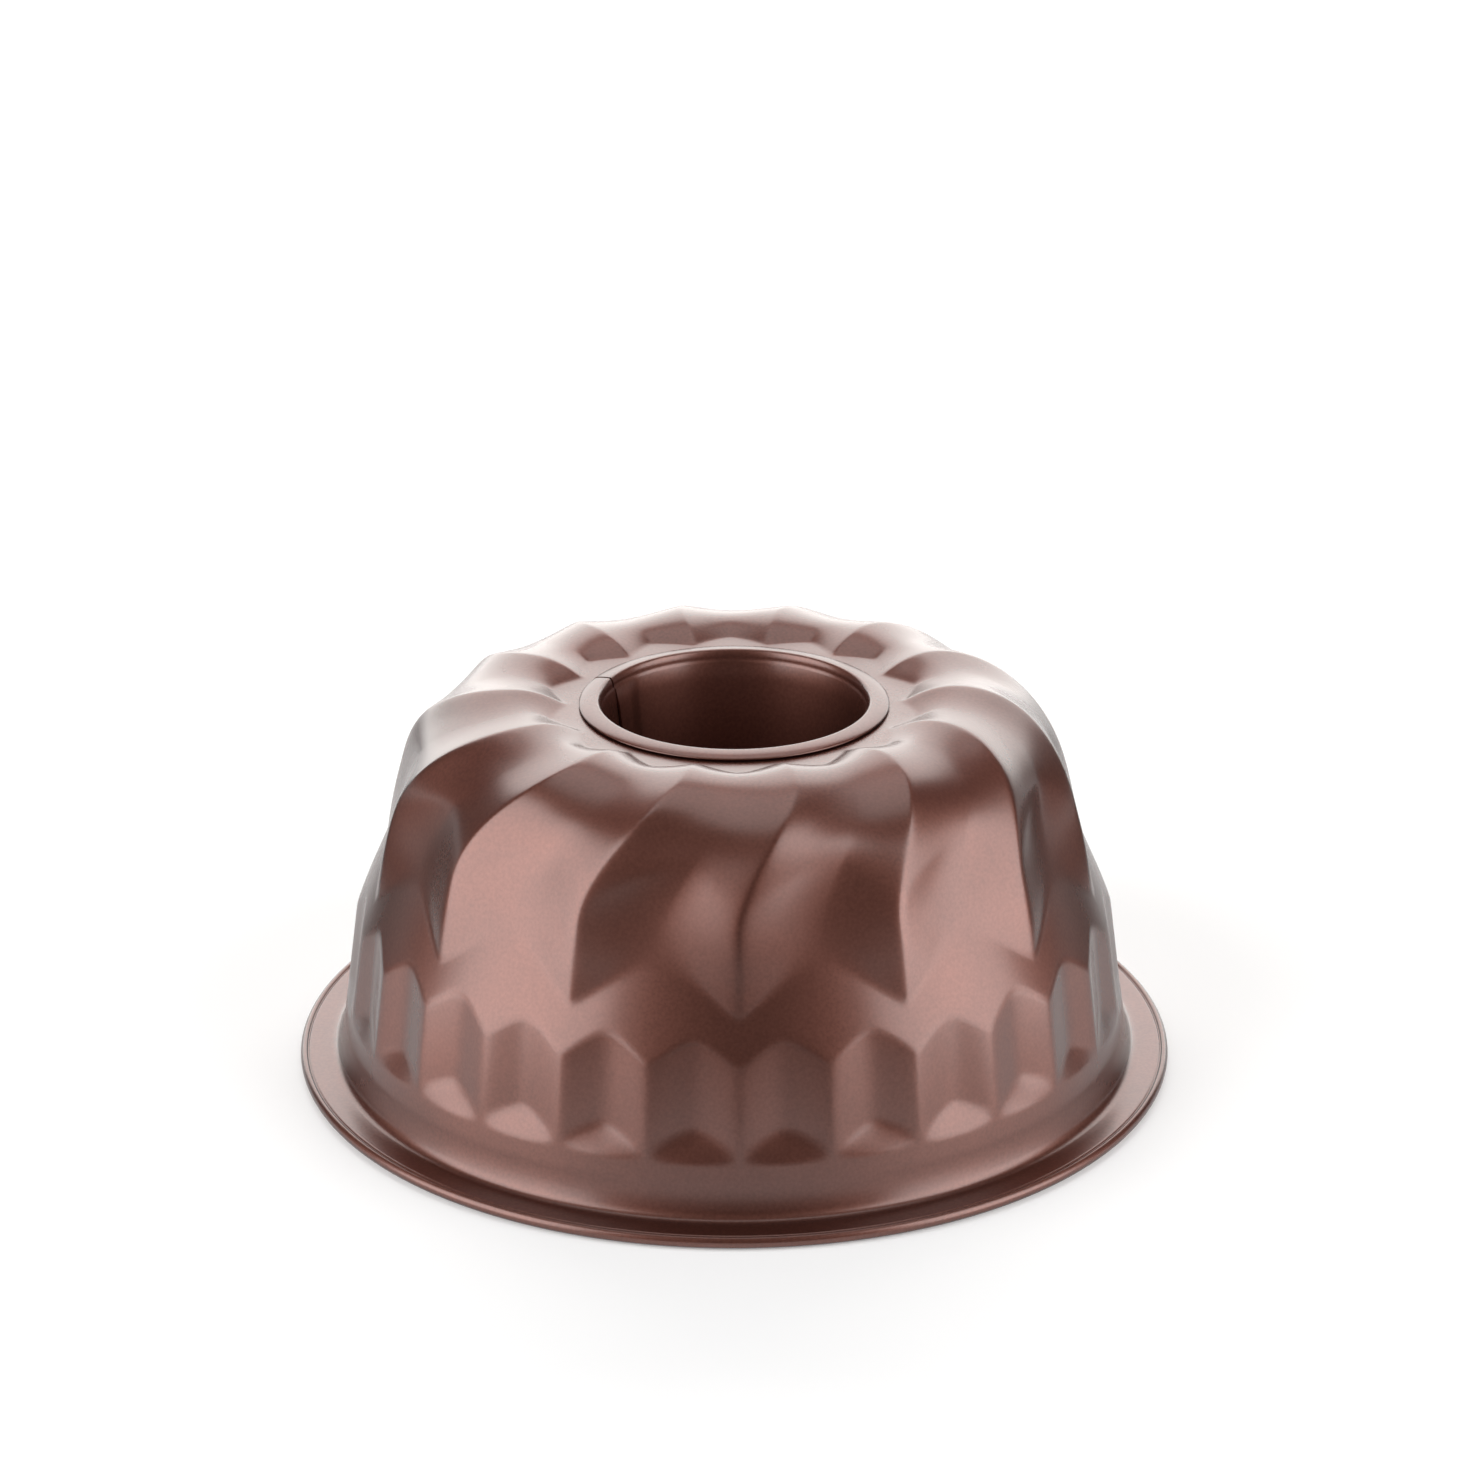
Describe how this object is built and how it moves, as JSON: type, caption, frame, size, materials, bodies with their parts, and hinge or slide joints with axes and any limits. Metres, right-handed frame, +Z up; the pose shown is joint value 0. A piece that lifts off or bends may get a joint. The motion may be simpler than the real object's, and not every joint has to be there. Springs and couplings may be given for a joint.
{
  "type": "fluted tube pan",
  "caption": "Ring cake tin of pressed sheet steel with swirled flutes over a band of dimples, a rolled rim and a tapering centre tube rolled over the crown; stands on its rim, crown up.",
  "frame": {"origin": "on the table, under the middle of the rolled rim", "axes": "+Z up from the rim to the crown, along the tube; -Y towards the viewer of the picture, +X to the viewer's right"},
  "size_m": [0.25, 0.25, 0.1092],
  "materials": {
    "shell_coat": "satin metallic copper-brown non-stick coat with a fine sparkle",
    "tube_coat": "satin metallic copper-brown non-stick coat with a fine sparkle"
  },
  "bodies": {
    "root": {"fluted_shell": "shell_coat", "centre_tube": "tube_coat"}
  },
  "joints": []
}
